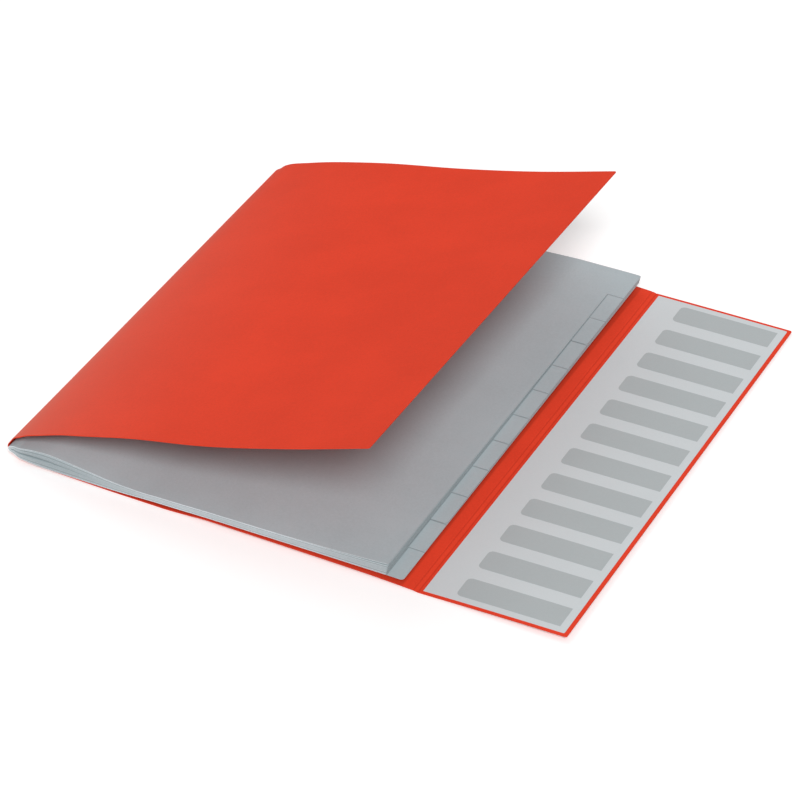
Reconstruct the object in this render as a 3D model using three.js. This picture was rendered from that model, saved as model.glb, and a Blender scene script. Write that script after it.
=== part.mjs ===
// A4 file sorter of bent card: a cover with a fold-out label flap, and six nested folded sheets that
// make twelve dividers with stepped tabs. It lies opened, as on a desk, with its front cover raised.
// Millimetres. X runs from the spine to the label flap, Y along the spine, Z up.
import * as THREE from 'three';

// Cover, folded from one board: its height runs along the spine
const coverHeight = 320;
const boardThickness = 0.5;
const creaseX = 255;
const scoreSpacing = 2.8;
const scoreWidth = 0.7;
const scoreDepth = 0.15;
const spineSkew = 4.3;

// Back cover: flat on the table along its belly, arched beyond it
const bellyStart = 72;
const bellyEnd = 98;
const archRise = 1.7;

// Front cover, from the spine to its free edge
const coverReach = 224.5;
const coverRise = 77.5;
const coverFarDrop = 7.9;
const coverCornerRadius = 1.2;
const hingeGap = 0.3;

// Label flap beyond the crease
const flapWidth = 86.7;
const flapRise = 2.8;
const flapFarRise = 0.9;
const flapBow = 0.35;
const flapCornerRadius = 1.2;
const flapSteps = 8;

// Label panel on the flap, with a writing field for each divider
const panelThickness = 0.12;
const panelCreaseMargin = 2.2;
const panelOuterMargin = 2.3;
const panelSideMargin = 2;
const panelCornerRadius = 0.9;
const fieldThickness = 0.06;
const fieldLength = 60.9;
const fieldHeight = 16.4;
const fieldCreaseMargin = 19.1;
const fieldPitch = 26.45;
const fieldCornerRadius = 3;
const glueGap = 0.04;

// Folded divider sheets: each gives one leaf of the upper half and one of the lower half
const sheetCount = 6;
const sheetThickness = 0.22;
const sheetGap = 0.05;
const leafHeight = 314.4;
const leafReach = 234.7;
const tabWidth = 10.1;
const tabCornerRadius = 2;
const farCornerShare = 0.4;
const nearInsetAtSpine = -1.4;
const nearInsetAtTabs = 2.7;
const nearFan = 2.4;

// How the leaves lie: springing apart next to the fold, curling up at the tabs
const humpHeight = 6;
const humpPlace = 25;
const wedgeHeight = 1;
const wedgePlace = 14;
const curlHeight = 2.4;
const curlLength = 75;
const curlShare = 0.6;
const farCurlHeight = 4.2;
const farCurlStart = 110;
const farCurlLength = 95;

// Fold of the sheets at the spine, wrapped by the cover
const foldX = 3.2;
const foldRise = 5.9;
const foldHollow = 0.35;
const foldSteps = 8;
const wrapGap = 0.45;

const leafCount = 2 * sheetCount;
const sheetPitch = sheetThickness + sheetGap;
const nestRadius = foldHollow + sheetCount * sheetThickness + (sheetCount - 1) * sheetGap;
const foldZ = foldRise + nestRadius;
const wrapRadius = nestRadius + wrapGap;
const spineRadius = wrapRadius + boardThickness;
const tabPitch = leafHeight / leafCount;
const tabEndX = leafReach + tabWidth;

const red = { color: 0xdc4630, roughness: 0.85, metalness: 0 };
const grey = { color: 0xa5aaad, roughness: 0.9, metalness: 0 };
const paleGrey = { color: 0xc7cacc, roughness: 0.85, metalness: 0 };
const fieldGrey = { color: 0xacb0b1, roughness: 0.85, metalness: 0 };

const vec = (x, z) => new THREE.Vector2(x, z);

// Values in rising order, each once
function distinct(values) {
  const sorted = [...values].sort((a, b) => a - b);
  return sorted.filter((value, i) => i === 0 || value - sorted[i - 1] > 1e-6);
}

// Smooth curve through rows of [x, value] that never overshoots: level stretches stay level
function smoothRows(rows, x) {
  const rises = rows.slice(1).map(([rowX, value], i) => (value - rows[i][1]) / (rowX - rows[i][0]));
  const slopes = rows.map((_, i) => {
    const before = rises[i - 1] ?? rises[i];
    const after = rises[i] ?? rises[i - 1];
    return before * after > 0 ? (2 * before * after) / (before + after) : 0;
  });
  const i = Math.max(rows.findLastIndex(([rowX], k) => rowX <= x && k < rows.length - 1), 0);
  const width = rows[i + 1][0] - rows[i][0];
  const t = Math.min(Math.max((x - rows[i][0]) / width, 0), 1);
  const blend = t * t * (3 - 2 * t);
  const startTurn = t * (1 - t) * (1 - t) * width * slopes[i];
  const endTurn = t * t * (1 - t) * width * slopes[i + 1];
  return rows[i][1] * (1 - blend) + rows[i + 1][1] * blend + startTurn - endTurn;
}

// The spine runs slightly out of square: x moves with y, most at the spine and not at all at the crease
function skewed(point, y) {
  const share = Math.max(1 - point.x / creaseX, 0);
  return [point.x - spineSkew * (y / coverHeight) * share, y, point.y];
}

// Closed sheet of card that is bent along a row of stations and runs in y from edge to edge.
// A station holds its lower and upper point in x and z as faces, and as farFaces where the far edge
// is bent another way, and the near and far edge of the strip before it and of the strip after it.
// Cross lines are further places in y where the card gets corners, for a card that is twisted. Twisted
// strips are split the same way whether their row runs towards the spine or away from it, so cards nest.
function bentCard(stations, crossLines = []) {
  const positions = [];
  const triangles = [];
  const rows = stations.map(({ faces, farFaces = faces, before, after }, i) => {
    const first = positions.length / 3;
    const ends = distinct([...(i > 0 ? before : []), ...(i < stations.length - 1 ? after : [])]);
    const ys = distinct([...ends, ...crossLines.filter((y) => y > ends[0] && y < ends.at(-1))]);
    ys.forEach((y) => [0, 1].forEach((side) => {
      const point = faces[side].clone().lerp(farFaces[side], y / coverHeight);
      positions.push(...skewed(point, y));
    }));
    return { ys, first };
  });
  const corner = (i, k, side) => rows[i].first + 2 * k + side;
  const quad = (a, b, c, d) => triangles.push(a, b, c, a, c, d);
  const within = (i, [near, far]) => rows[i].ys
    .map((y, k) => k)
    .filter((k) => rows[i].ys[k] > near - 1e-6 && rows[i].ys[k] < far + 1e-6);

  for (let i = 0; i < stations.length - 1; i += 1) {
    const left = within(i, stations[i].after);
    const right = within(i + 1, stations[i + 1].before);
    const leftFirst = stations[i].faces[0].x > stations[i + 1].faces[0].x;
    let a = 0;
    let b = 0;
    while (a < left.length - 1 || b < right.length - 1) {
      const onLeft = a < left.length - 1 && (b === right.length - 1 || a < b || (a === b && leftFirst));
      const third = onLeft ? [i, left[a + 1]] : [i + 1, right[b + 1]];
      const face = [[i, left[a]], [i + 1, right[b]], third];
      triangles.push(...face.map(([row, k]) => corner(row, k, 1)));
      triangles.push(...face.reverse().map(([row, k]) => corner(row, k, 0)));
      a += onLeft ? 1 : 0;
      b += onLeft ? 0 : 1;
    }
    const [nearA, nearB] = [left[0], right[0]];
    const [farA, farB] = [left.at(-1), right.at(-1)];
    quad(corner(i, nearA, 0), corner(i + 1, nearB, 0), corner(i + 1, nearB, 1), corner(i, nearA, 1));
    quad(corner(i, farA, 0), corner(i, farA, 1), corner(i + 1, farB, 1), corner(i + 1, farB, 0));
  }

  const covers = (edges, low, high) => low > edges[0] - 1e-6 && high < edges[1] + 1e-6;
  rows.forEach(({ ys }, i) => {
    ys.slice(1).forEach((high, k) => {
      const cardBefore = i > 0 && covers(stations[i].before, ys[k], high);
      const cardAfter = i < stations.length - 1 && covers(stations[i].after, ys[k], high);
      const wall = [corner(i, k, 0), corner(i, k + 1, 0), corner(i, k + 1, 1), corner(i, k, 1)];
      if (cardBefore && !cardAfter) quad(...wall);
      if (cardAfter && !cardBefore) quad(...wall.reverse());
    });
  });

  const geometry = new THREE.BufferGeometry();
  geometry.setAttribute('position', new THREE.Float32BufferAttribute(positions, 3));
  geometry.setIndex(triangles);
  geometry.computeVertexNormals();
  return geometry;
}

function namedMesh(name, geometry, finish) {
  const mesh = new THREE.Mesh(geometry, new THREE.MeshStandardMaterial(finish));
  mesh.name = name;
  return mesh;
}

// Station with the same edges before and after it
const station = (faces, edges) => ({ faces, before: edges, after: edges });

// Rounded end of a card: how far its last stations lie from the end, and how far its edges draw in
function cornerSteps(radius) {
  return [0, 1, 2, 3].map((step) => {
    const turn = (step * Math.PI) / 6;
    return { back: radius * (1 - Math.sin(turn)), drawn: radius * (1 - Math.cos(turn)) };
  });
}

// Points of a card's two faces on the arc round the fold
function arcFaces(turn, outerRadius, thickness) {
  return [outerRadius, outerRadius - thickness].map((radius) => (
    vec(foldX + radius * Math.cos(turn), foldZ + radius * Math.sin(turn))
  ));
}

// Rows of [x, height of the back cover's upper face, clearance of the lowest leaf above it]
const bedRows = [
  [foldX, foldRise - wrapGap, wrapGap],
  [foldX + 1.2, foldRise - 0.75, 0.3],
  [foldX + 2.8, foldRise - 1.75, 0.35],
  [foldX + 5.3, foldRise - 3.1, 0.4],
  [foldX + 11.4, foldRise - 4, 0.4],
  [foldX + 21, foldRise - 4.6, 0.4],
  [foldX + 43, boardThickness + 0.3, 0.7],
  [bellyStart, boardThickness, 1.1],
  [bellyEnd, boardThickness, 1.9],
  [bellyEnd + 14, boardThickness + archRise * 0.4, 1.35],
  [bellyEnd + 30, boardThickness + archRise, 0.55],
  [bellyEnd + 67, boardThickness + archRise, 0.55],
  [creaseX - 35, boardThickness + archRise * 0.88, 0.6],
  [creaseX - 10, boardThickness + archRise * 0.5, 1.25],
  [creaseX - scoreSpacing, boardThickness + archRise * 0.3, 1.6],
];

const coverTop = (x) => smoothRows(bedRows.map(([rowX, z]) => [rowX, z]), x);
const bedHeight = (x) => coverTop(x) + smoothRows(bedRows.map(([rowX, , gap]) => [rowX, gap]), x);

// Lower and upper point of a thin card on or in the flap, at a distance from the crease, as a station
// whose far edge rises less than its near edge
function flapStation(distance, lift, thickness, edges) {
  const share = distance / flapWidth;
  const [faces, farFaces] = [flapRise, flapFarRise].map((rise) => {
    const z = lift + rise * ((1 + flapBow) * share - flapBow * share * share);
    return [vec(creaseX + distance, z), vec(creaseX + distance, z + thickness)];
  });
  return { ...station(faces, edges), farFaces };
}

// Places in y where the twisted flap and the cards on it get corners
const flapLines = Array.from({ length: flapSteps - 1 }, (_, i) => ((i + 1) * coverHeight) / flapSteps);

// The back cover, the strip between its two scores and the label flap are one folded board
function backCover() {
  const edges = [0, coverHeight];
  const stations = [];
  for (let step = 0; step < foldSteps / 2; step += 1) {
    stations.push(station(arcFaces(Math.PI * (1 + step / foldSteps), spineRadius, boardThickness), edges));
  }
  const addAt = (x, top, edgesHere = edges, groove = 0) => {
    stations.push(station([vec(x, top - boardThickness), vec(x, top - groove)], edgesHere));
  };
  const scoreX = creaseX - scoreSpacing;
  const xs = [
    ...[0, 1.2, 3, 6, 9, 12.5, 17, 22, 32, 44, 57].map((distance) => foldX + distance),
    bellyStart,
    ...[0, 7, 14, 22, 30, 48, 67].map((distance) => bellyEnd + distance),
    ...[60, 35, 22, 10].map((distance) => creaseX - distance),
    scoreX - scoreWidth,
  ];
  xs.forEach((x) => addAt(x, coverTop(x)));
  addAt(scoreX, coverTop(scoreX), edges, scoreDepth);
  [scoreX + scoreWidth, creaseX - scoreWidth].forEach((x) => {
    const share = (creaseX - x) / scoreSpacing;
    addAt(x, boardThickness + share * (coverTop(scoreX) - boardThickness));
  });
  addAt(creaseX, boardThickness, edges, scoreDepth);
  [scoreWidth, 8, 20, 35, 52, 70].forEach((distance) => {
    stations.push(flapStation(distance, 0, boardThickness, edges));
  });
  cornerSteps(flapCornerRadius).forEach(({ back, drawn }) => {
    stations.push(flapStation(flapWidth - back, 0, boardThickness, [drawn, coverHeight - drawn]));
  });
  return namedMesh('back_cover_with_flap', bentCard(stations, flapLines), red);
}

// Upper face of the raised front cover at its near and far edge: [share of its reach, share of its rise]
const frontNearShape = [
  [0.0013, 0.0222], [0.0061, 0.045], [0.0184, 0.093], [0.0304, 0.112], [0.0542, 0.15], [0.0982, 0.2],
  [0.156, 0.262], [0.214, 0.311], [0.356, 0.432], [0.55, 0.565], [0.767, 0.76], [1, 1],
];
const frontFarShape = [
  [0.0013, 0.0225], [0.0061, 0.042], [0.0184, 0.0715], [0.0304, 0.108], [0.0542, 0.152], [0.0982, 0.204],
  [0.156, 0.269], [0.214, 0.326], [0.356, 0.449], [0.55, 0.588], [0.767, 0.769], [1, 1],
];

// Upper and lower points along the front cover, from the hinge at the spine to the free edge
function frontLine(shape, rise) {
  const spineX = foldX - spineRadius;
  const points = shape.map(([reach, height]) => vec(spineX + reach * coverReach, foldZ + height * rise));
  const curve = new THREE.SplineCurve([vec(spineX, foldZ + hingeGap), ...points]);
  const line = curve.getPoints(3 * points.length);
  const freeEdge = line.pop();
  const along = freeEdge.clone().sub(line.at(-1)).normalize();
  cornerSteps(coverCornerRadius).forEach(({ back }) => {
    line.push(freeEdge.clone().addScaledVector(along, -back));
  });
  return line.map((point, i) => {
    const next = line[Math.min(i + 1, line.length - 1)];
    const direction = next.clone().sub(line[Math.max(i - 1, 0)]).normalize();
    const under = vec(point.x + direction.y * boardThickness, point.y - direction.x * boardThickness);
    return [under, point];
  });
}

function frontCover() {
  const near = frontLine(frontNearShape, coverRise);
  const far = frontLine(frontFarShape, coverRise - coverFarDrop);
  const corners = cornerSteps(coverCornerRadius);
  const stations = near.map((faces, i) => {
    const { drawn } = corners[i - (near.length - corners.length)] ?? { drawn: 0 };
    return { ...station(faces, [drawn, coverHeight - drawn]), farFaces: far[i] };
  });
  return namedMesh('front_cover', bentCard(stations), red);
}

// Thin card laid on the flap, lifted off its upper face: rows of { x, edges }
function cardOnFlap(name, rows, lift, thickness, finish) {
  const stations = rows.map(({ x, edges }) => (
    flapStation(x - creaseX, boardThickness + lift, thickness, edges)
  ));
  return namedMesh(name, bentCard(stations, flapLines), finish);
}

function labelPanel() {
  const startX = creaseX + panelCreaseMargin;
  const endX = creaseX + flapWidth - panelOuterMargin;
  const straight = [0, 0.25, 0.5, 0.75].map((share) => ({
    x: startX + share * (endX - startX),
    edges: [panelSideMargin, coverHeight - panelSideMargin],
  }));
  const rounded = cornerSteps(panelCornerRadius).map(({ back, drawn }) => ({
    x: endX - back,
    edges: [panelSideMargin + drawn, coverHeight - panelSideMargin - drawn],
  }));
  return cardOnFlap('label_panel', [...straight, ...rounded], glueGap, panelThickness, paleGrey);
}

// Writing field, rounded towards the crease and square at its outer end
function labelField(number) {
  const startX = creaseX + fieldCreaseMargin;
  const rowStart = (coverHeight - (leafCount - 1) * fieldPitch - fieldHeight) / 2;
  const near = rowStart + (leafCount - number) * fieldPitch;
  const rounded = cornerSteps(fieldCornerRadius).reverse().map(({ back, drawn }) => ({
    x: startX + back,
    edges: [near + drawn, near + fieldHeight - drawn],
  }));
  const straight = [0.25, 0.5, 0.75, 1].map((share) => ({
    x: startX + share * fieldLength,
    edges: [near, near + fieldHeight],
  }));
  const name = `label_field_${String(number).padStart(2, '0')}`;
  const lift = 2 * glueGap + panelThickness;
  return cardOnFlap(name, [...rounded, ...straight], lift, fieldThickness, fieldGrey);
}

// Near edge of a leaf, counted from 1 at the top: the block of sheets sits a little out of square in the
// cover, and its leaves fan out towards the tabs
function leafNear(number, x) {
  const insetAtTabs = nearInsetAtTabs + (nearFan * (leafCount - number)) / (leafCount - 1);
  return nearInsetAtSpine + (insetAtTabs - nearInsetAtSpine) * Math.min(x / leafReach, 1);
}

// Share of the hump that springs the leaves apart, along the distance from the fold
const humpRows = [[0, 0], [0.16, 0.36], [0.48, 0.7], [1, 1], [1.9, 0.67], [2.62, 0.28], [3.35, 0]];

// Share of the wedge between the upper and the lower half, along the distance from the fold
const wedgeRows = [[0, 0], [0.3, 0.4], [1, 1], [2.2, 0.5], [4, 0]];

// Undersides of a leaf at x, counted from 1 at the top, at the near and at the far end
function leafUndersides(number, x) {
  const above = leafCount - number;
  const upperHalf = number <= sheetCount;
  const hollow = (2 * foldHollow - sheetGap) * Math.exp(-(((x - foldX) / humpPlace) ** 2));
  const wedge = upperHalf ? hollow + wedgeHeight * smoothRows(wedgeRows, (x - foldX) / wedgePlace) : 0;
  const hump = humpHeight * smoothRows(humpRows, (x - foldX) / humpPlace);
  const flat = bedHeight(x) + above * sheetPitch + wedge + (hump * above) / (leafCount - 1);
  const nearRank = number === 1 ? 1 : (curlShare * above) / (leafCount - 2);
  const nearCurl = curlHeight * Math.max(1 - (leafReach - x) / curlLength, 0) ** 2;
  const farCurl = smoothRows([[farCurlStart, 0], [farCurlStart + farCurlLength, farCurlHeight]], x);
  return [flat + nearRank * nearCurl, flat + farCurl];
}

const leafXs = [
  ...[0, 1.2, 3, 6, 9, 12.5, 17, 22, 28, 35, 44, 56, 70].map((distance) => foldX + distance),
  ...[bellyEnd, bellyEnd + 14, bellyEnd + 30],
  ...[75, 58, 42, 28, 17, 8, 0].map((distance) => leafReach - distance),
];

// Stations of one leaf from the fold to the end of its tab, which runs from its own row to the far end,
// under the tabs of the leaves above
function leafStations(number) {
  const tabFar = leafNear(number, leafReach) + leafHeight;
  const tabNear = tabFar - number * tabPitch;
  const body = leafXs.map((x) => ({ x, edges: [leafNear(number, x), leafNear(number, x) + leafHeight] }));
  const tab = cornerSteps(tabCornerRadius).map(({ back, drawn }) => ({
    x: tabEndX - back,
    edges: [tabNear + drawn, tabFar - drawn * farCornerShare],
  }));
  const stations = [...body, ...tab].map(({ x, edges }) => {
    const [faces, farFaces] = leafUndersides(number, x).map((z) => [vec(x, z), vec(x, z + sheetThickness)]);
    return { ...station(faces, edges), farFaces };
  });
  stations[body.length - 1].after = [tabNear, tabFar];
  return stations;
}

// One sheet folded at the spine, with one leaf above and its partner below
function dividerSheet(number) {
  const upper = leafStations(number).reverse().map(({ faces, farFaces, before, after }) => ({
    faces: [faces[1], faces[0]],
    farFaces: [farFaces[1], farFaces[0]],
    before: after,
    after: before,
  }));
  const lower = leafStations(leafCount + 1 - number);
  const radius = nestRadius - (number - 1) * sheetPitch;
  const fold = [];
  for (let step = 1; step < foldSteps; step += 1) {
    const turn = Math.PI * (0.5 + step / foldSteps);
    fold.push(station(arcFaces(turn, radius, sheetThickness), lower[0].before));
  }
  return namedMesh(`divider_sheet_${number}`, bentCard([...upper, ...fold, ...lower]), grey);
}

const sorter = new THREE.Group();
sorter.add(backCover(), frontCover(), labelPanel());
for (let number = 1; number <= leafCount; number += 1) {
  sorter.add(labelField(number));
}
for (let number = 1; number <= sheetCount; number += 1) {
  sorter.add(dividerSheet(number));
}

// The origin is under the middle of the whole sorter, on the table
const bounds = new THREE.Box3().setFromObject(sorter, true);
const middle = bounds.getCenter(new THREE.Vector3());
sorter.position.set(-middle.x, -middle.y, -bounds.min.z);

export default sorter;
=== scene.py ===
"""The looks of a card file sorter that lies open, with its front cover raised and its label flap out.

Each card is a sheet with two faces, worked out on a grid whose columns run along the bend, from the
spine to the label flap, and whose rows run along the spine. Sizes are in millimetres in the sorter's
own axes: x from the spine to the flap, y from the near end, z up from the table.
"""

import math

import bpy
import numpy as np
from mathutils import Matrix, Vector


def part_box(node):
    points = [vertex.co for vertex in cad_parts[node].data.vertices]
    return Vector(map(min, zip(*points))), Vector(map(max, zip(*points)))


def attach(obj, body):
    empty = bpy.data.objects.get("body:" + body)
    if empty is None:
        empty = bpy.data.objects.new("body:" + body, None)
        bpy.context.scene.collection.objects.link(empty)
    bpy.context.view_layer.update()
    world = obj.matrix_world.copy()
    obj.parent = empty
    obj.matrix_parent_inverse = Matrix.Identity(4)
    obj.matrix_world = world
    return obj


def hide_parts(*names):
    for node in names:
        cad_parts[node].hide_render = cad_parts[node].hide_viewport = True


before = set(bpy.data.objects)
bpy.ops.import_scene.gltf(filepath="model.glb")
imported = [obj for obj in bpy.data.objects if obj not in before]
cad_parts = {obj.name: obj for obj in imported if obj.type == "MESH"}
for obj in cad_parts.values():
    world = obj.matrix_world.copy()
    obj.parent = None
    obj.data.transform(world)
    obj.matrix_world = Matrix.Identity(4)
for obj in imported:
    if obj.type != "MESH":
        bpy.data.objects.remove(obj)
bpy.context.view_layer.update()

MM = 0.001
BASE_BODY = "back_cover_and_dividers"
COVER_BODY = "raised_cover"

# Cover
COVER_HEIGHT = 320
BOARD = 0.5
CREASE_X = 255
SCORE_SPACING = 2.8
SCORE_DEPTH = 0.18
SCORE_WIDTH = 0.35
SCORE_LIP = 0.05
SCORE_LIP_WIDTHS = 2.2
SPINE_SKEW = 4.3
BELLY_START = 72
BELLY_END = 98
ARCH_RISE = 1.7
COVER_REACH = 224.5
COVER_RISE = 77.5
COVER_FAR_DROP = 7.9
HINGE_GAP = 0.3
CORNER_RADIUS = 1.2
FLAP_WIDTH = 86.7
FLAP_RISE = 2.8
FLAP_FAR_RISE = 0.9
FLAP_BOW = 0.35

# Folded divider sheets
SHEETS = 6
SHEET = 0.22
SHEET_GAP = 0.05
LEAF_HEIGHT = 314.4
LEAF_REACH = 234.7
TAB_WIDTH = 10.1
TAB_RADIUS = 2
FAR_CORNER_SHARE = 0.4
NEAR_AT_SPINE = -1.4
NEAR_AT_TABS = 2.7
NEAR_FAN = 2.4
HUMP_HEIGHT = 6
HUMP_PLACE = 25
WEDGE_HEIGHT = 1
WEDGE_PLACE = 14
CURL_HEIGHT = 2.4
CURL_LENGTH = 75
CURL_SHARE = 0.6
FAR_CURL_HEIGHT = 4.2
FAR_CURL_START = 110
FAR_CURL_LENGTH = 95

# Fold at the spine
FOLD_X = 3.2
FOLD_RISE = 5.9
FOLD_HOLLOW = 0.35
WRAP_GAP = 0.45

LEAVES = 2 * SHEETS
SHEET_PITCH = SHEET + SHEET_GAP
NEST_RADIUS = FOLD_HOLLOW + SHEETS * SHEET + (SHEETS - 1) * SHEET_GAP
FOLD_Z = FOLD_RISE + NEST_RADIUS
SPINE_RADIUS = NEST_RADIUS + WRAP_GAP + BOARD
SPINE_X = FOLD_X - SPINE_RADIUS
TAB_PITCH = LEAF_HEIGHT / LEAVES
TAB_END = LEAF_REACH + TAB_WIDTH

# Place of the sorter's own axes in the frame
board_low, board_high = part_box("back_cover_with_flap")
ORIGIN = np.array([board_high.x - (CREASE_X + FLAP_WIDTH) * MM, board_low.y, 0.0])

# Camera
LENS = 158.06
SENSOR = 36
AZIMUTH = math.radians(25.99)
ELEVATION = math.radians(35.89)
ROLL = math.radians(1.22)
DISTANCE = 2005.89
TARGET = (168.2, 151.48, 0)

# Colours of the cards, as linear light
RED = (0.715, 0.052, 0.022)
# Pale red of the painted sheen, a highlight painted along the spine
SHEEN_RED = (0.74, 0.27, 0.21)
GREY = (0.394, 0.458, 0.481)
CUT_GREY = (0.41, 0.437, 0.452)
PANEL_GREY = (0.57, 0.605, 0.62)
FIELD_GREY = (0.405, 0.438, 0.446)

# Tones of the cover's inside and of its cut edges, against the card's own colour
INSIDE_TONE = 0.85
CUT_RED_TONE = 0.86

# Tones of the sheets' cut edges, from the outermost to the innermost: painted light and shade, lighter and
# darker copies of the edges' grey for the pale and dark bands along the stacked edges
CUT_TONES = (1.85, 1.75, 0.8, 1.45, 1.35, 1.3)

# Finishes: spread of tone between fibres, strength of the specks, roughness, and strength of the tooth
COVER_FINISH = (0.06, 0.25, 0.7, 0.3)
COVER_CUT_FINISH = (0.08, 0.2, 0.8, 0.5)
DIVIDER_FINISH = (0.05, 0.2, 0.66, 0.25)
DIVIDER_CUT_FINISH = (0.06, 0.2, 0.8, 0.4)
PANEL_FINISH = (0.015, 0.08, 0.6, 0.12)
FIELD_FINISH = (0.02, 0.08, 0.6, 0.12)

# Patterns of the card, in bumps per metre, and how deep its tooth is in metres
CLOUDS = 22
FIBRES = 700
GRAIN = 2600
SPECKS = 1100
TOOTH_DEPTH = 0.00012
SPECK_TONE = 0.6
CARD_SHINE = 0.06

# Painted sheen along the spine, a highlight of the lamps on the bent card: what is left of it a millimetre
# further on, beside the spine and beyond, the share of each, and how much stronger it is at the near end
SHEEN_CLOSE = 0.75
SHEEN_WIDE = 0.975
SHEEN_CLOSE_SHARE = 0.5
SHEEN_WIDE_SHARE = 0.33
SHEEN_NEAR_END = 1.15

# Painted shade: dark lines where card touches card, and along the two scored lines: reach in millimetres and
# strength
CONTACT_REACH = 0.9
CONTACT_STRENGTH = 0.55
GUTTER_REACH = 1.6
GUTTER_STRENGTH = 0.35
SCORE_STRENGTH = 0.2
TAB_EDGE_STRENGTH = 0.4
TAB_EDGE_WIDTH = 0.9
LINE_STEP = 0.05

# Light: the even light from all round, the white table and its glow for the camera, and the lamps with
# their name, strength, and azimuth, elevation and softness in degrees
AMBIENT = 0.36
TABLE_WHITE = 0.93
TABLE_GLOW = 0.12
TABLE_HALF = 4.0
TABLE_DROP = 0.0002
LAMPS = (
    ("front_lamp", 2.65, 28, 43, 22),
    ("back_left_lamp", 0.5, -125, 44, 40),
)


def smooth_rows(rows, x):
    """Smooth curve through rows of (x, value): a cubic in each span, whose slope at a row is the
    harmonic mean of the slopes beside it, or nothing where they differ in sign."""
    places, values = np.array(rows, float).T
    rises = np.diff(values) / np.diff(places)
    before = np.concatenate([rises[:1], rises])
    after = np.concatenate([rises, rises[-1:]])
    same = before * after > 0
    slopes = np.where(same, 2 * before * after / np.where(same, before + after, 1), 0)
    span = np.clip(np.searchsorted(places, x, side="right") - 1, 0, len(rises) - 1)
    width = np.diff(places)[span]
    t = np.clip((x - places[span]) / width, 0, 1)
    blend = t * t * (3 - 2 * t)
    turns = t * (1 - t) ** 2 * slopes[span] - t * t * (1 - t) * slopes[span + 1]
    return values[span] * (1 - blend) + values[span + 1] * blend + width * turns


def in_frame(x, y, z):
    """Points of the frame in metres: x is first moved by the spine's skew, which grows with y and
    fades out from the spine to the crease."""
    skew = SPINE_SKEW * (y / COVER_HEIGHT) * np.maximum(1 - x / CREASE_X, 0)
    return np.stack([x - skew, y, z], axis=-1) * MM + ORIGIN


def evenly(near, far, steps=41):
    """Places along the spine for a grid: even steps from the near to the far edge of each column."""
    return near + (far - near) * np.linspace(0, 1, steps)[:, None]


def rounded_end(radius, steps=7):
    """Distances from a card's rounded end, and how far its side edges draw in there: a quarter circle."""
    turn = np.linspace(0, math.pi / 2, steps)
    return radius * (1 - np.sin(turn)), radius * (1 - np.cos(turn))


def sheet_mesh(name, outer, inner, keep=None):
    """Closed sheet between two grids of points: a face on each side for every kept cell, and a wall
    along every side of a kept cell that has no kept neighbour. The outer face has the first material,
    the walls the second and the inner face the third."""
    rows, columns = outer.shape[:2]
    keep = np.ones((rows - 1, columns - 1), bool) if keep is None else keep
    number = np.arange(rows * columns).reshape(rows, columns)
    under = number + rows * columns
    corners = [number[:-1, :-1], number[:-1, 1:], number[1:, 1:], number[1:, :-1]]
    face = np.stack(corners, axis=-1)[keep]
    faces = [face, face[:, ::-1] + rows * columns]
    walls = []
    padded = np.pad(keep, 1)
    for start, end, neighbour in (
        (corners[0], corners[1], padded[:-2, 1:-1]),
        (corners[1], corners[2], padded[1:-1, 2:]),
        (corners[2], corners[3], padded[2:, 1:-1]),
        (corners[3], corners[0], padded[1:-1, :-2]),
    ):
        a, b = start[keep & ~neighbour], end[keep & ~neighbour]
        walls.append(np.stack([b, a, under.flat[a], under.flat[b]], axis=-1))
    quads = np.concatenate(faces + walls)
    points = np.concatenate([outer.reshape(-1, 3), inner.reshape(-1, 3)])
    used, quads = np.unique(quads, return_inverse=True)
    quads = quads.reshape(-1, 4)
    mesh = bpy.data.meshes.new(name)
    mesh.from_pydata(points[used], [], quads)
    slots = np.zeros(len(quads), np.int32)
    slots[len(face):] = 2
    slots[2 * len(face):] = 1
    mesh.polygons.foreach_set("material_index", slots)
    mesh.polygons.foreach_set("use_smooth", np.ones(len(quads), bool))
    mesh.set_sharp_from_angle(angle=math.radians(40))
    piece = bpy.data.objects.new(name, mesh)
    bpy.context.scene.collection.objects.link(piece)
    return piece


def bent_card(name, section, y, keep=None):
    """Card bent along a section: its columns hold near and far points (x, z) of both faces, y gives the
    place of every point of the grid along the spine, and each point is blended by its y."""
    along = y / COVER_HEIGHT
    faces = []
    for near_points, far_points in section:
        x = near_points[:, 0] * (1 - along) + far_points[:, 0] * along
        z = near_points[:, 1] * (1 - along) + far_points[:, 1] * along
        faces.append(in_frame(x, y, z))
    return sheet_mesh(name, faces[0], faces[1], keep)


def arc(turns, radius):
    """Points (x, z) on a circle round the fold at the spine."""
    return np.stack([FOLD_X + radius * np.cos(turns), FOLD_Z + radius * np.sin(turns)], axis=-1)


# Rows of x, height of the back cover's upper face, and clearance of the lowest leaf above it
BED_ROWS = [
    (FOLD_X, FOLD_RISE - WRAP_GAP, WRAP_GAP),
    (FOLD_X + 1.2, FOLD_RISE - 0.75, 0.3),
    (FOLD_X + 2.8, FOLD_RISE - 1.75, 0.35),
    (FOLD_X + 5.3, FOLD_RISE - 3.1, 0.4),
    (FOLD_X + 11.4, FOLD_RISE - 4, 0.4),
    (FOLD_X + 21, FOLD_RISE - 4.6, 0.4),
    (FOLD_X + 43, BOARD + 0.3, 0.7),
    (BELLY_START, BOARD, 1.1),
    (BELLY_END, BOARD, 1.9),
    (BELLY_END + 14, BOARD + ARCH_RISE * 0.4, 1.35),
    (BELLY_END + 30, BOARD + ARCH_RISE, 0.55),
    (BELLY_END + 67, BOARD + ARCH_RISE, 0.55),
    (CREASE_X - 35, BOARD + ARCH_RISE * 0.88, 0.6),
    (CREASE_X - 10, BOARD + ARCH_RISE * 0.5, 1.25),
    (CREASE_X - SCORE_SPACING, BOARD + ARCH_RISE * 0.3, 1.6),
]


def cover_top(x):
    """Height of the back cover's upper face between the spine and the first score."""
    return smooth_rows([(row_x, top) for row_x, top, _ in BED_ROWS], x)


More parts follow.
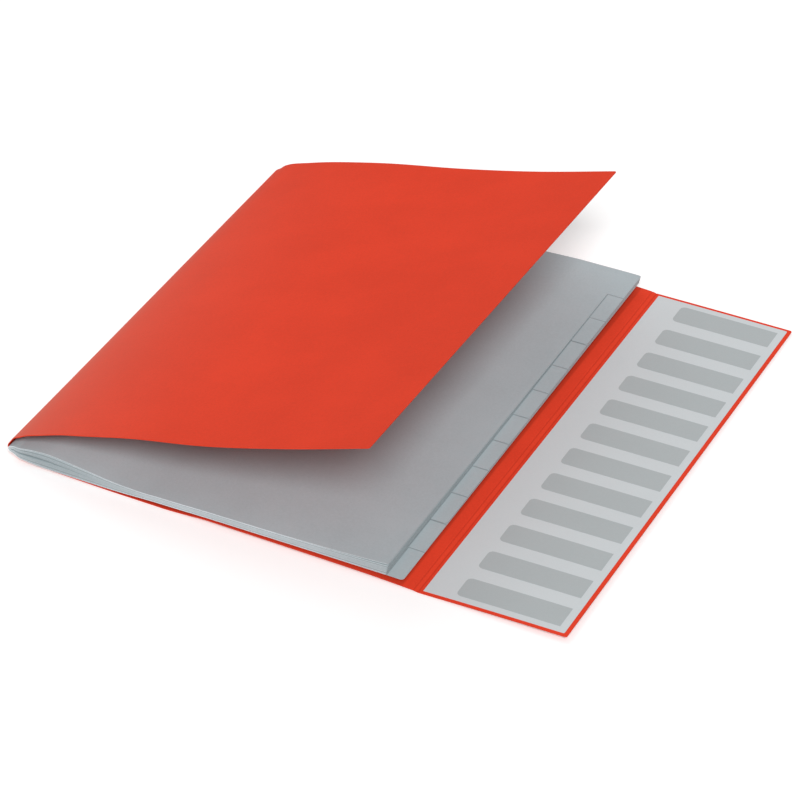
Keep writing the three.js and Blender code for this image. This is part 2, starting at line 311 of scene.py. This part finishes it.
def bed_height(x):
    """Height of the lowest leaf's underside: the back cover's upper face and the clearance above it."""
    return cover_top(x) + smooth_rows([(row_x, gap) for row_x, _, gap in BED_ROWS], x)


def score_marks(x):
    """Depth of the two scored lines in the upper face: a groove with a raised lip beside it, each a
    bell curve in the distance from the score."""
    depth = np.zeros_like(x)
    for score in (CREASE_X - SCORE_SPACING, CREASE_X):
        groove = np.exp(-(((x - score) / SCORE_WIDTH) ** 2))
        lip = np.exp(-(((x - score - SCORE_LIP_WIDTHS * SCORE_WIDTH) / SCORE_WIDTH) ** 2))
        depth += SCORE_DEPTH * groove - SCORE_LIP * lip
    return depth


def back_cover():
    """Back cover with the label flap: a quarter circle round the fold, the bed under the leaves, two
    scores, and the flap, which rises less at its far end than at its near end."""
    score_x = CREASE_X - SCORE_SPACING
    back, drawn = rounded_end(CORNER_RADIUS)
    bed_x = np.concatenate([
        FOLD_X + np.linspace(0, 24, 33)[:-1],
        np.linspace(FOLD_X + 24, score_x - 2, 70)[:-1],
        np.linspace(score_x - 2, CREASE_X, 49)[:-1],
    ])
    flap = np.concatenate([np.linspace(0, 3, 31)[:-1], np.linspace(3, FLAP_WIDTH - CORNER_RADIUS, 30)[:-1],
                           FLAP_WIDTH - back])
    share = (CREASE_X - bed_x) / SCORE_SPACING
    strip = BOARD + share * (cover_top(np.array([score_x])) - BOARD)
    bed_z = np.where(bed_x < score_x, cover_top(bed_x), strip)
    flap_share = flap / FLAP_WIDTH
    bow = (1 + FLAP_BOW) * flap_share - FLAP_BOW * flap_share ** 2
    x = np.concatenate([bed_x, CREASE_X + flap])
    turns = np.linspace(math.pi, 1.5 * math.pi, 17)[:-1]
    upper, lower = [], []
    for rise in (FLAP_RISE, FLAP_FAR_RISE):
        z = np.concatenate([bed_z, BOARD + rise * bow])
        top = np.stack([x, z - score_marks(x)], axis=-1)
        bottom = np.stack([x, z - BOARD], axis=-1)
        upper.append(np.concatenate([arc(turns, SPINE_RADIUS - BOARD), top]))
        lower.append(np.concatenate([arc(turns, SPINE_RADIUS), bottom]))
    inset = np.concatenate([np.zeros(len(upper[0]) - len(drawn)), drawn])
    return bent_card("cover_board_and_flap", (upper, lower), evenly(inset, COVER_HEIGHT - inset))


# Upper face of the raised front cover at its near and far edge: share of its reach, share of its rise
FRONT_NEAR = [
    (0, HINGE_GAP / COVER_RISE), (0.0013, 0.0222), (0.0061, 0.045), (0.0184, 0.093), (0.0304, 0.112),
    (0.0542, 0.15), (0.0982, 0.2), (0.156, 0.262), (0.214, 0.311), (0.356, 0.432), (0.55, 0.565),
    (0.767, 0.76), (1, 1),
]
FRONT_FAR = [
    (0, HINGE_GAP / COVER_RISE), (0.0013, 0.0225), (0.0061, 0.042), (0.0184, 0.0715), (0.0304, 0.108),
    (0.0542, 0.152), (0.0982, 0.204), (0.156, 0.269), (0.214, 0.326), (0.356, 0.449), (0.55, 0.588),
    (0.767, 0.769), (1, 1),
]


def front_cover():
    """Raised front cover: a smooth S from the spine to its free edge, other at its near and far end,
    and as thick as the board at right angles to the S."""
    back, drawn = rounded_end(CORNER_RADIUS)
    last = 1 - CORNER_RADIUS / COVER_REACH
    reach = np.concatenate([last * np.linspace(0, 1, 150)[:-1] ** 2, 1 - back / COVER_REACH])
    upper, lower = [], []
    for rows, rise in ((FRONT_NEAR, COVER_RISE), (FRONT_FAR, COVER_RISE - COVER_FAR_DROP)):
        line = np.stack([SPINE_X + reach * COVER_REACH, FOLD_Z + rise * smooth_rows(rows, reach)], axis=-1)
        along = np.gradient(line, axis=0)
        along /= np.linalg.norm(along, axis=1, keepdims=True)
        upper.append(line)
        lower.append(line + BOARD * np.stack([along[:, 1], -along[:, 0]], axis=-1))
    inset = np.concatenate([np.zeros(len(reach) - len(drawn)), drawn])
    return bent_card("raised_front_cover", (upper, lower), evenly(inset, COVER_HEIGHT - inset))


# Shares of the hump and of the wedge, along the distance from the fold
HUMP_ROWS = [(0, 0), (0.16, 0.36), (0.48, 0.7), (1, 1), (1.9, 0.67), (2.62, 0.28), (3.35, 0)]
WEDGE_ROWS = [(0, 0), (0.3, 0.4), (1, 1), (2.2, 0.5), (4, 0)]


def leaf_undersides(number, x):
    """Undersides of a leaf at the near and the far end, counted from 1 at the top: the bed, the leaves
    below it, the hollow and wedge over the lower half, the hump at the spine, the curl at the tabs and
    the far end's lift."""
    above = LEAVES - number
    hollow = (2 * FOLD_HOLLOW - SHEET_GAP) * np.exp(-(((x - FOLD_X) / HUMP_PLACE) ** 2))
    wedge = hollow + WEDGE_HEIGHT * smooth_rows(WEDGE_ROWS, (x - FOLD_X) / WEDGE_PLACE)
    hump = HUMP_HEIGHT * smooth_rows(HUMP_ROWS, (x - FOLD_X) / HUMP_PLACE)
    flat = bed_height(x) + above * SHEET_PITCH + (number <= SHEETS) * wedge + hump * above / (LEAVES - 1)
    near_rank = 1 if number == 1 else CURL_SHARE * above / (LEAVES - 2)
    near_curl = CURL_HEIGHT * np.maximum(1 - (LEAF_REACH - x) / CURL_LENGTH, 0) ** 2
    far_curl = smooth_rows([(FAR_CURL_START, 0), (FAR_CURL_START + FAR_CURL_LENGTH, FAR_CURL_HEIGHT)], x)
    return flat + near_rank * near_curl, flat + far_curl


def leaf_near(number, x):
    """Near edge of a leaf: the block of sheets sits a little out of square in the cover, and its leaves
    fan out towards the tabs."""
    at_tabs = NEAR_AT_TABS + NEAR_FAN * (LEAVES - number) / (LEAVES - 1)
    return NEAR_AT_SPINE + (at_tabs - NEAR_AT_SPINE) * np.minimum(x / LEAF_REACH, 1)


def leaf_places(number, x, drawn, rows):
    """Places along the spine for a leaf's columns, and which cells of its grid are card. The rows are
    shares of the leaf's height. Beyond the leaf's edge only the rows of its tab and of the tabs above it
    are card, and these draw in at the tab's rounded corners."""
    share = rows[:, None]
    tab_low = 1 - number / LEAVES
    tab_share = 1 - tab_low
    near_draw = drawn / LEAF_HEIGHT
    far_draw = FAR_CORNER_SHARE * near_draw
    rounded = tab_low + near_draw + (share - tab_low) * (tab_share - near_draw - far_draw) / tab_share
    y = leaf_near(number, x) + LEAF_HEIGHT * np.where(drawn > 0, rounded, share)
    middle = (rows[1:, None] + rows[:-1, None]) / 2
    keep = (x[1:] <= LEAF_REACH) | (middle > tab_low)
    return y, keep


def divider_sheet(number):
    """One folded sheet: the leaf of that number from its tab to the fold, half a circle round the fold,
    and its partner in the lower half out to its own tab."""
    back, drawn = rounded_end(TAB_RADIUS)
    leaf_x = np.concatenate([
        FOLD_X + np.linspace(0, 30, 31)[:-1],
        np.linspace(FOLD_X + 30, LEAF_REACH, 80),
        np.linspace(LEAF_REACH, TAB_END - TAB_RADIUS, 5)[1:-1],
        TAB_END - back,
    ])
    drawn = np.concatenate([np.zeros(len(leaf_x) - len(drawn)), drawn])
    turns = np.linspace(0.5 * math.pi, 1.5 * math.pi, 25)[1:-1]
    radius = NEST_RADIUS - (number - 1) * SHEET_PITCH
    partner = LEAVES + 1 - number
    outer, inner = [], []
    for end in (0, 1):
        top = leaf_undersides(number, leaf_x)[end][::-1]
        bottom = leaf_undersides(partner, leaf_x)[end]
        outer.append(np.concatenate([
            np.stack([leaf_x[::-1], top + SHEET], axis=-1),
            arc(turns, radius),
            np.stack([leaf_x, bottom], axis=-1),
        ]))
        inner.append(np.concatenate([
            np.stack([leaf_x[::-1], top], axis=-1),
            arc(turns, radius - SHEET),
            np.stack([leaf_x, bottom + SHEET], axis=-1),
        ]))
    steps = [1 - number / LEAVES, 1 - partner / LEAVES]
    rows = np.union1d(np.linspace(0, 1, 37).round(9), np.round(steps, 9))
    upper_y, upper_keep = leaf_places(number, leaf_x, drawn, rows)
    lower_y, lower_keep = leaf_places(partner, leaf_x, drawn, rows)
    fold_y = lower_y[:, :1] + np.zeros(len(turns))
    y = np.concatenate([upper_y[:, ::-1], fold_y, lower_y], axis=1)
    fold_keep = np.ones((len(rows) - 1, len(turns) + 1), bool)
    keep = np.concatenate([upper_keep[:, ::-1], fold_keep, lower_keep], axis=1)
    return bent_card(f"folded_divider_{number}", (inner, outer), y, keep)


class Wire:
    """A socket of a material's nodes: arithmetic on it adds Math nodes."""

    def __init__(self, finish, socket):
        self.finish = finish
        self.socket = socket

    def math(self, operation, first, second):
        return self.finish.node("Math", {"operation": operation}, {0: first, 1: second})["Value"]

    def __add__(self, other):
        return self.math("ADD", self, other)

    def __sub__(self, other):
        return self.math("SUBTRACT", self, other)

    def __mul__(self, other):
        return self.math("MULTIPLY", self, other)

    def __rsub__(self, other):
        return self.math("SUBTRACT", other, self)

    __radd__ = __add__
    __rmul__ = __mul__


class Finish:
    """The node tree of one material or of the world."""

    def __init__(self, owner):
        owner.use_nodes = True
        self.tree = owner.node_tree
        self.tree.nodes.clear()

    def node(self, kind, settings=None, inputs=None):
        """Adds a node, sets its settings, then sets or links its inputs; gives its outputs by name."""
        node = self.tree.nodes.new("ShaderNode" + kind)
        for key, value in (settings or {}).items():
            setattr(node, key, value)
        for key, value in (inputs or {}).items():
            if isinstance(value, Wire):
                self.tree.links.new(value.socket, node.inputs[key])
            else:
                node.inputs[key].default_value = value
        return {socket.name: Wire(self, socket) for socket in node.outputs if socket.enabled}

    def noise(self, scale, detail=2, roughness=0.5):
        """Noise on the object's own coordinates, from 0 to 1, with its scale in bumps per metre."""
        place = self.node("TexCoord")["Object"]
        inputs = {"Vector": place, "Scale": scale, "Detail": detail, "Roughness": roughness}
        return self.node("TexNoise", None, inputs)["Fac"]

    def between(self, share, first, second):
        """A colour between two colours."""
        settings = {"data_type": "RGBA", "clamp_factor": True}
        return self.node("Mix", settings, {0: share, 6: first, 7: second})["Result"]

    def above(self, value, edge, width):
        """0 below an edge and 1 above it, with a soft step of the given width."""
        inputs = {"Value": value, "From Min": edge, "From Max": edge + width}
        return self.node("MapRange", {"interpolation_type": "SMOOTHSTEP"}, inputs)["Result"]

    def near(self, distance, reach):
        """1 at no distance or a negative one, and 0 from the reach on."""
        inputs = {"Value": distance, "From Min": 0.0, "From Max": reach, "To Min": 1.0, "To Max": 0.0}
        return self.node("MapRange", {"interpolation_type": "SMOOTHSTEP"}, inputs)["Result"]

    def surface(self, inputs):
        shader = self.node("BsdfPrincipled", None, inputs)["BSDF"]
        self.node("OutputMaterial", None, {"Surface": shader})


def tone(colour, factor):
    """A colour made lighter or darker, with full alpha."""
    return tuple(min(channel * factor, 1) for channel in colour) + (1,)


def own_axes(finish):
    """A surface's place in the sorter's own axes, x and y in millimetres, with the skew taken off x."""
    place = finish.node("SeparateXYZ", None, {"Vector": finish.node("TexCoord")["Object"]})
    across = (place["X"] - float(ORIGIN[0])) * (1 / MM)
    along = (place["Y"] - float(ORIGIN[1])) * (1 / MM)
    lean = along * (SPINE_SKEW / COVER_HEIGHT)
    return across + lean - lean * across * (1 / CREASE_X), along


def spine_sheen(finish):
    """How strong the painted sheen is, a highlight of the lamps painted pale on the card: it falls off
    exponentially from the spine, fast beside it and slowly beyond, and evenly from the near to the far end."""
    across, along = own_axes(finish)
    away = across - SPINE_X
    close = finish.node("Math", {"operation": "POWER"}, {0: SHEEN_CLOSE, 1: away})["Value"]
    wide = finish.node("Math", {"operation": "POWER"}, {0: SHEEN_WIDE, 1: away})["Value"]
    return (SHEEN_CLOSE_SHARE * close + SHEEN_WIDE_SHARE * wide) * (SHEEN_NEAR_END - along * (1 / COVER_HEIGHT))


def tab_contact_shade(finish):
    """Painted contact shade: dark lines on the tabs beside the top leaf's edge, and along the near edge of
    the tab above.
    """
    across, along = own_axes(finish)
    first = leaf_near(1, LEAF_REACH) + LEAF_HEIGHT - TAB_PITCH
    pitch = TAB_PITCH + NEAR_FAN / (LEAVES - 1)
    below = first - along
    row = finish.node("Math", {"operation": "FRACT"}, {0: below * (1 / pitch)})["Value"]
    lines = {0: finish.near(row * pitch, CONTACT_REACH), 1: finish.near(across - LEAF_REACH, CONTACT_REACH)}
    beyond_leaf = finish.above(across, LEAF_REACH - LINE_STEP, LINE_STEP)
    on_tab = beyond_leaf * finish.above(below, 0.0, LINE_STEP)
    return on_tab * finish.node("Math", {"operation": "MAXIMUM"}, lines)["Value"] * CONTACT_STRENGTH


def tab_edge_shade(finish):
    """Painted shade: the cut edges are painted darker where the leaves end in tabs."""
    across = own_axes(finish)[0]
    return finish.above(across, LEAF_REACH - TAB_RADIUS / 2, TAB_EDGE_WIDTH) * TAB_EDGE_STRENGTH


def gutter_shade(finish):
    """Painted shade on the back cover: dark lines beside the tabs, and in the two scored lines."""
    across = own_axes(finish)[0]
    beside = finish.near(across - TAB_END, GUTTER_REACH) * GUTTER_STRENGTH
    for score in (CREASE_X - SCORE_SPACING, CREASE_X):
        away = finish.node("Math", {"operation": "ABSOLUTE"}, {0: across - score})["Value"]
        beside = beside + finish.near(away, 2 * SCORE_WIDTH) * SCORE_STRENGTH
    return beside


def recycled_card(name, colour, fibre, speck, roughness, tooth, overlay=None):
    """Card of recycled fibre: cloudy in large, mottled by its fibres in small, with darker specks, and a
    fine tooth that catches the light. An overlay is a share over the surface and the colour it brings."""
    material = bpy.data.materials.new(name)
    finish = Finish(material)
    cloud = finish.noise(CLOUDS, 3, 0.6)
    fibres = finish.noise(FIBRES, 4, 0.7)
    grain = finish.noise(GRAIN, 2, 0.6)
    mottle = cloud * 0.35 + fibres * 0.4 + grain * 0.25
    base = finish.between(finish.above(mottle, 0.36, 0.28), tone(colour, 1 - fibre), tone(colour, 1 + fibre))
    specks = finish.above(finish.noise(SPECKS, 1, 0.4), 0.7, 0.08)
    base = finish.between(specks * speck, base, tone(colour, SPECK_TONE))
    if overlay:
        share, over = overlay
        base = finish.between(share(finish), base, over)
    height = fibres * 0.6 + grain * 0.4
    relief = {"Height": height, "Strength": tooth, "Distance": TOOTH_DEPTH}
    finish.surface({
        "Base Color": base,
        "Roughness": roughness + 0.12 * (fibres - 0.5),
        "Normal": finish.node("Bump", None, relief)["Normal"],
        "Specular IOR Level": CARD_SHINE,
    })
    return material


def world_light():
    """White behind everything and in every reflection, and an even, weaker light from all round."""
    world = bpy.data.worlds.new("studio")
    bpy.context.scene.world = world
    finish = Finish(world)
    path = finish.node("LightPath")
    seen = path["Is Camera Ray"] + path["Is Glossy Ray"] + path["Is Transmission Ray"]
    seen = finish.node("Math", {"operation": "MINIMUM"}, {0: seen, 1: 1.0})["Value"]
    strength = AMBIENT + seen * (1 - AMBIENT)
    background = finish.node("Background", None, {"Color": (1, 1, 1, 1), "Strength": strength})["Background"]
    finish.node("OutputWorld", None, {"Surface": background})


def direction(azimuth, elevation):
    """Unit vector towards a point seen from the sorter: azimuth 0 is the near side, 90 degrees the flap's."""
    level = math.cos(elevation)
    return Vector((math.sin(azimuth) * level, -math.cos(azimuth) * level, math.sin(elevation)))


def soft_lamp(name, strength, azimuth, elevation, softness):
    """A far lamp that shines evenly, with soft edges to its shadows."""
    lamp = bpy.data.lights.new(name, "SUN")
    lamp.energy = strength
    lamp.angle = math.radians(softness)
    towards = direction(math.radians(azimuth), math.radians(elevation))
    holder = bpy.data.objects.new(name, lamp)
    holder.rotation_mode = "QUATERNION"
    holder.rotation_quaternion = towards.to_track_quat("Z", "Y")
    holder.location = towards
    bpy.context.scene.collection.objects.link(holder)


def studio_floor():
    """White table top. The camera sees it a little brighter than it is, so that it fades into the white
    background and still keeps the sorter's shadow."""
    mesh = bpy.data.meshes.new("table_top")
    turns = ((-1, -1), (1, -1), (1, 1), (-1, 1))
    corners = [(x * TABLE_HALF, y * TABLE_HALF, -TABLE_DROP) for x, y in turns]
    mesh.from_pydata(corners, [], [(0, 1, 2, 3)])
    floor = bpy.data.objects.new("table_top", mesh)
    bpy.context.scene.collection.objects.link(floor)
    material = bpy.data.materials.new("white_table")
    finish = Finish(material)
    lit = finish.node("LightPath")["Is Camera Ray"]
    finish.surface({
        "Base Color": (TABLE_WHITE, TABLE_WHITE, TABLE_WHITE, 1),
        "Roughness": 1.0,
        "Specular IOR Level": 0.0,
        "Emission Color": finish.between(lit, (0, 0, 0, 1), (1, 1, 1, 1)),
        "Emission Strength": TABLE_GLOW,
    })
    mesh.materials.append(material)


def camera():
    """The photograph's view: the target, pulled back along the line of sight, with a slight roll."""
    back = direction(AZIMUTH, ELEVATION)
    right = Vector((math.cos(AZIMUTH), math.sin(AZIMUTH), 0))
    up = back.cross(right)
    rolled_right = math.cos(ROLL) * right + math.sin(ROLL) * up
    rolled_up = -math.sin(ROLL) * right + math.cos(ROLL) * up
    data = bpy.data.cameras.new("photo_view")
    data.lens = LENS
    data.sensor_width = SENSOR
    data.clip_start = 0.05
    data.clip_end = 20
    holder = bpy.data.objects.new("photo_view", data)
    place = Vector(TARGET) * MM + Vector(ORIGIN) + back * DISTANCE * MM
    axes = Matrix((rolled_right, rolled_up, back)).transposed().to_4x4()
    holder.matrix_world = Matrix.Translation(place) @ axes
    bpy.context.scene.collection.objects.link(holder)
    bpy.context.scene.camera = holder


def dress(piece, body, node, materials):
    """Gives a piece its materials, and lets it stand for a CAD node on that node's body."""
    for material in materials:
        piece.data.materials.append(material)
    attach(piece, body)
    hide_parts(node)


def finish_node(name, material):
    """Gives a CAD node that stays as it is its own material."""
    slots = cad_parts[name].data.materials
    slots.clear()
    slots.append(material)


camera()
world_light()
for lamp_values in LAMPS:
    soft_lamp(*lamp_values)
studio_floor()

# Painted shade on the back cover beside the tabs and in the scored lines
gutter_and_score_shade = (gutter_shade, tone(RED, 0.3))
# Painted sheen: a highlight painted pale along the spine
painted_sheen = (spine_sheen, tone(SHEEN_RED, 1))
# Painted contact shade on the tabs
contact_shade = (tab_contact_shade, tone(GREY, 0.2))
# Painted shade on the cut edges at the tabs
tab_edge_shading = (tab_edge_shade, tone(GREY, 0.3))
shaded_scored_card = recycled_card("red_card_scored_with_painted_shade", RED, *COVER_FINISH, gutter_and_score_shade)
sheened_card = recycled_card("red_card_with_painted_sheen", RED, *COVER_FINISH, painted_sheen)
inside_card = recycled_card("red_card_inside", tone(RED, INSIDE_TONE)[:3], *COVER_FINISH)
red_cut = recycled_card("red_card_cut_edge", tone(RED, CUT_RED_TONE)[:3], *COVER_CUT_FINISH)
grey_card = recycled_card("grey_card", GREY, *DIVIDER_FINISH, contact_shade)
panel_paper = recycled_card("panel_paper", PANEL_GREY, *PANEL_FINISH)
field_print = recycled_card("field_print", FIELD_GREY, *FIELD_FINISH)

dress(back_cover(), BASE_BODY, "back_cover_with_flap", (shaded_scored_card, red_cut, sheened_card))
dress(front_cover(), COVER_BODY, "front_cover", (sheened_card, red_cut, inside_card))
# Each sheet's cut edges get a lighter or darker grey of their own: painted light and shade
for sheet_number, cut_tone in enumerate(CUT_TONES, start=1):
    cut_name = f"grey_card_cut_edge_{sheet_number}"
    cut = recycled_card(cut_name, tone(CUT_GREY, cut_tone)[:3], *DIVIDER_CUT_FINISH, tab_edge_shading)
    sheet_node = f"divider_sheet_{sheet_number}"
    dress(divider_sheet(sheet_number), BASE_BODY, sheet_node, (grey_card, cut, grey_card))
finish_node("label_panel", panel_paper)
for field_number in range(1, LEAVES + 1):
    finish_node(f"label_field_{field_number:02d}", field_print)

bpy.context.scene.view_settings.view_transform = "Standard"
